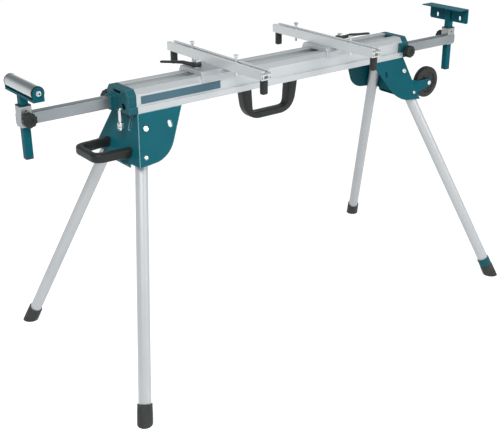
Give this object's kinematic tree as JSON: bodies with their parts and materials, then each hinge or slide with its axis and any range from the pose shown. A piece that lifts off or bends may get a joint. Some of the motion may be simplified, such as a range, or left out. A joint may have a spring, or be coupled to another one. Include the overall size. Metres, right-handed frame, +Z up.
{
  "type": "miter saw stand",
  "caption": "Folding aluminium miter saw stand with splayed legs, sliding clamp brackets, telescopic arms with a work roller and a stop plate, and transport wheels.",
  "frame": {"origin": "on the floor, under the middle of the stand's length and depth", "axes": "+X along the rail to the right, towards the wheels and the stop plate; -Y towards the user at the front; +Z up"},
  "size_m": [1.5818, 0.7436, 0.8706],
  "materials": {
    "aluminium_rail": "clear anodised extrusion, fine lengthwise lines",
    "aluminium_legs": "satin anodised round tube",
    "aluminium_cast": "die-cast clamp base, lightly blasted",
    "steel_tube": "zinc-plated square and box tube",
    "steel_fasteners": "bright zinc plating",
    "chrome_tool": "polished chrome plating",
    "teal_paint": "smooth teal powder coat",
    "teal_plastic": "moulded teal plastic",
    "teal_trim": "grey-teal printed trim, left bare",
    "black_plastic": "moulded black plastic, fine grain",
    "black_rubber": "black rubber",
    "wheel_plastic": "hard black wheel plastic"
  },
  "bodies": {
    "stand": {"main_rail": "aluminium_rail", "rail_trim_plate": "teal_trim", "end_cap_left": "teal_plastic", "end_cap_right": "teal_plastic", "frame_screws": "steel_fasteners", "leg_bracket_left": "teal_paint", "leg_bracket_right": "teal_paint", "carry_handle": "black_plastic", "tow_grip": "black_plastic", "leg_pivot_bolts": "steel_fasteners", "socket_wrench": "chrome_tool", "wheel_axles": "steel_fasteners"},
    "wheel_front": {"wheel_front": "wheel_plastic"},
    "wheel_rear": {"wheel_rear": "wheel_plastic"},
    "levelling_collar": {"levelling_collar": "teal_plastic"},
    "levelling_foot": {"foot_front_right": "black_rubber"},
    "roller_lift": {"roller_post": "teal_paint", "roller_post_plug": "black_plastic", "roller_bracket": "teal_paint", "roller_axle": "steel_fasteners"},
    "roller": {"roller_tube": "steel_tube", "roller_end_rings": "black_plastic"},
    "stop_lift": {"stop_post": "teal_paint", "stop_post_plug": "black_plastic", "stop_plate": "teal_paint"},
    "leg_front_left": {"leg_front_left": "aluminium_legs", "foot_front_left": "black_rubber"},
    "lock_pin_front_left": {"lock_pin_front_left": "steel_fasteners"},
    "leg_rear_left": {"leg_rear_left": "aluminium_legs", "foot_rear_left": "black_rubber"},
    "lock_pin_rear_left": {"lock_pin_rear_left": "steel_fasteners"},
    "leg_front_right": {"leg_front_right": "aluminium_legs"},
    "lock_pin_front_right": {"lock_pin_front_right": "steel_fasteners"},
    "leg_rear_right": {"leg_rear_right": "aluminium_legs", "foot_rear_right": "black_rubber"},
    "lock_pin_rear_right": {"lock_pin_rear_right": "steel_fasteners"},
    "arm_left": {"extension_arm_left": "steel_tube", "post_sleeve_left": "steel_tube", "sleeve_liner_left": "black_plastic"},
    "arm_knob_left": {"arm_knob_left": "black_plastic"},
    "post_knob_left": {"post_knob_left": "black_plastic"},
    "arm_right": {"extension_arm_right": "steel_tube", "post_sleeve_right": "steel_tube", "sleeve_liner_right": "black_plastic"},
    "arm_knob_right": {"arm_knob_right": "black_plastic"},
    "post_knob_right": {"post_knob_right": "black_plastic"},
    "saw_bracket_left": {"saw_beam_left": "aluminium_rail", "beam_feet_left": "black_rubber", "clamp_base_left": "aluminium_cast", "clamp_screw_left": "steel_fasteners"},
    "clamp_lever_left": {"clamp_lever_left": "black_plastic"},
    "saw_bolt_left_front": {"saw_bolt_left_front": "steel_fasteners"},
    "saw_bolt_left_rear": {"saw_bolt_left_rear": "steel_fasteners"},
    "saw_bracket_right": {"saw_beam_right": "aluminium_rail", "beam_feet_right": "black_rubber", "clamp_base_right": "aluminium_cast", "clamp_screw_right": "steel_fasteners"},
    "clamp_lever_right": {"clamp_lever_right": "black_plastic"},
    "saw_bolt_right_front": {"saw_bolt_right_front": "steel_fasteners"},
    "saw_bolt_right_rear": {"saw_bolt_right_rear": "steel_fasteners"}
  },
  "joints": [
    {"name": "fold_leg_front_left", "type": "hinge", "parent": "stand", "child": "leg_front_left", "pos_m": [-0.4799, -0.057, 0.69], "axis": [0, -0.9025, 0.4308], "range_deg": [0, 105.44], "deforming": ["lock_pin_front_left"]},
    {"name": "press_lock_pin_front_left", "type": "slide", "parent": "leg_front_left", "child": "lock_pin_front_left", "axis": [0, 0.9025, -0.4308], "range_m": [0, 0.009], "stiffness_N_per_m": 600, "springref_m": -0.004},
    {"name": "fold_leg_rear_left", "type": "hinge", "parent": "stand", "child": "leg_rear_left", "pos_m": [-0.4799, 0.057, 0.69], "axis": [0, -0.9025, -0.4308], "range_deg": [0, 105.44], "deforming": ["lock_pin_rear_left"]},
    {"name": "press_lock_pin_rear_left", "type": "slide", "parent": "leg_rear_left", "child": "lock_pin_rear_left", "axis": [0, -0.9025, -0.4308], "range_m": [0, 0.009], "stiffness_N_per_m": 600, "springref_m": -0.004},
    {"name": "fold_leg_front_right", "type": "hinge", "parent": "stand", "child": "leg_front_right", "pos_m": [0.5045, -0.0535, 0.69], "axis": [0, 0.936, -0.3519], "range_deg": [0, 105.42], "deforming": ["lock_pin_front_right"]},
    {"name": "press_lock_pin_front_right", "type": "slide", "parent": "leg_front_right", "child": "lock_pin_front_right", "axis": [0, 0.936, -0.3519], "range_m": [0, 0.009], "stiffness_N_per_m": 600, "springref_m": -0.004},
    {"name": "level_foot_front_right", "type": "slide", "parent": "leg_front_right", "child": "levelling_foot", "axis": [0.2656, -0.3795, -0.8862], "range_m": [0, 0.012]},
    {"name": "turn_levelling_collar", "type": "hinge", "parent": "leg_front_right", "child": "levelling_collar", "pos_m": [0.70121, -0.33458, 0.03368], "axis": [0.2656, -0.3795, -0.8862], "range_deg": [0, 720]},
    {"name": "fold_leg_rear_right", "type": "hinge", "parent": "stand", "child": "leg_rear_right", "pos_m": [0.5045, 0.0535, 0.69], "axis": [0, 0.936, 0.3519], "range_deg": [0, 105.42], "deforming": ["lock_pin_rear_right"]},
    {"name": "press_lock_pin_rear_right", "type": "slide", "parent": "leg_rear_right", "child": "lock_pin_rear_right", "axis": [0, -0.936, -0.3519], "range_m": [0, 0.009], "stiffness_N_per_m": 600, "springref_m": -0.004},
    {"name": "spin_wheel_front", "type": "hinge", "parent": "stand", "child": "wheel_front", "pos_m": [0.5969, -0.0904, 0.651], "axis": [0, 1, 0], "continuous": true},
    {"name": "spin_wheel_rear", "type": "hinge", "parent": "stand", "child": "wheel_rear", "pos_m": [0.5969, 0.0904, 0.651], "axis": [0, 1, 0], "continuous": true},
    {"name": "extend_arm_left", "type": "slide", "parent": "stand", "child": "arm_left", "axis": [1, 0, 0], "range_m": [-0.4777, 0.2193]},
    {"name": "turn_arm_knob_left", "type": "hinge", "parent": "stand", "child": "arm_knob_left", "pos_m": [-0.5017, 0.0622, 0.76005], "axis": [0, 1, 0], "range_deg": [0, 360]},
    {"name": "turn_post_knob_left", "type": "hinge", "parent": "arm_left", "child": "post_knob_left", "pos_m": [-0.77175, 0.0065, 0.7643], "axis": [0, -1, 0], "range_deg": [0, 360]},
    {"name": "raise_post_left", "type": "slide", "parent": "arm_left", "child": "roller_lift", "axis": [0, 0, 1], "range_m": [-0.026, 0.08]},
    {"name": "extend_arm_right", "type": "slide", "parent": "stand", "child": "arm_right", "axis": [-1, 0, 0], "range_m": [-0.5023, 0.1947]},
    {"name": "turn_arm_knob_right", "type": "hinge", "parent": "stand", "child": "arm_knob_right", "pos_m": [0.5263, -0.0622, 0.76005], "axis": [0, -1, 0], "range_deg": [0, 360]},
    {"name": "turn_post_knob_right", "type": "hinge", "parent": "arm_right", "child": "post_knob_right", "pos_m": [0.77175, -0.0065, 0.7643], "axis": [0, 1, 0], "range_deg": [0, 360]},
    {"name": "raise_post_right", "type": "slide", "parent": "arm_right", "child": "stop_lift", "axis": [0, 0, 1], "range_m": [-0.02, 0.08]},
    {"name": "spin_roller", "type": "hinge", "parent": "roller_lift", "child": "roller", "pos_m": [-0.77175, 0.0054, 0.849], "axis": [0, 1, 0], "continuous": true},
    {"name": "move_saw_bracket_left", "type": "slide", "parent": "stand", "child": "saw_bracket_left", "axis": [1, 0, 0], "range_m": [-0.185, 0.15]},
    {"name": "turn_clamp_lever_left", "type": "hinge", "parent": "saw_bracket_left", "child": "clamp_lever_left", "pos_m": [-0.2567, 0, 0.8166], "axis": [0, 0, 1], "range_deg": [0, 80]},
    {"name": "slide_saw_bolt_left_front", "type": "slide", "parent": "saw_bracket_left", "child": "saw_bolt_left_front", "axis": [0, 1, 0], "range_m": [-0.11, 0.022]},
    {"name": "slide_saw_bolt_left_rear", "type": "slide", "parent": "saw_bracket_left", "child": "saw_bolt_left_rear", "axis": [0, 1, 0], "range_m": [-0.044, 0.088]},
    {"name": "move_saw_bracket_right", "type": "slide", "parent": "stand", "child": "saw_bracket_right", "axis": [-1, 0, 0], "range_m": [-0.185, 0.15]},
    {"name": "turn_clamp_lever_right", "type": "hinge", "parent": "saw_bracket_right", "child": "clamp_lever_right", "pos_m": [0.2883, 0, 0.8166], "axis": [0, 0, 1], "range_deg": [-26, 54]},
    {"name": "slide_saw_bolt_right_front", "type": "slide", "parent": "saw_bracket_right", "child": "saw_bolt_right_front", "axis": [0, 1, 0], "range_m": [-0.086, 0.046]},
    {"name": "slide_saw_bolt_right_rear", "type": "slide", "parent": "saw_bracket_right", "child": "saw_bolt_right_rear", "axis": [0, 1, 0], "range_m": [-0.058, 0.074]}
  ],
  "couplings": [
    {"joint": "turn_levelling_collar", "follows": "level_foot_front_right", "rad_per_m": 1047.2}
  ]
}
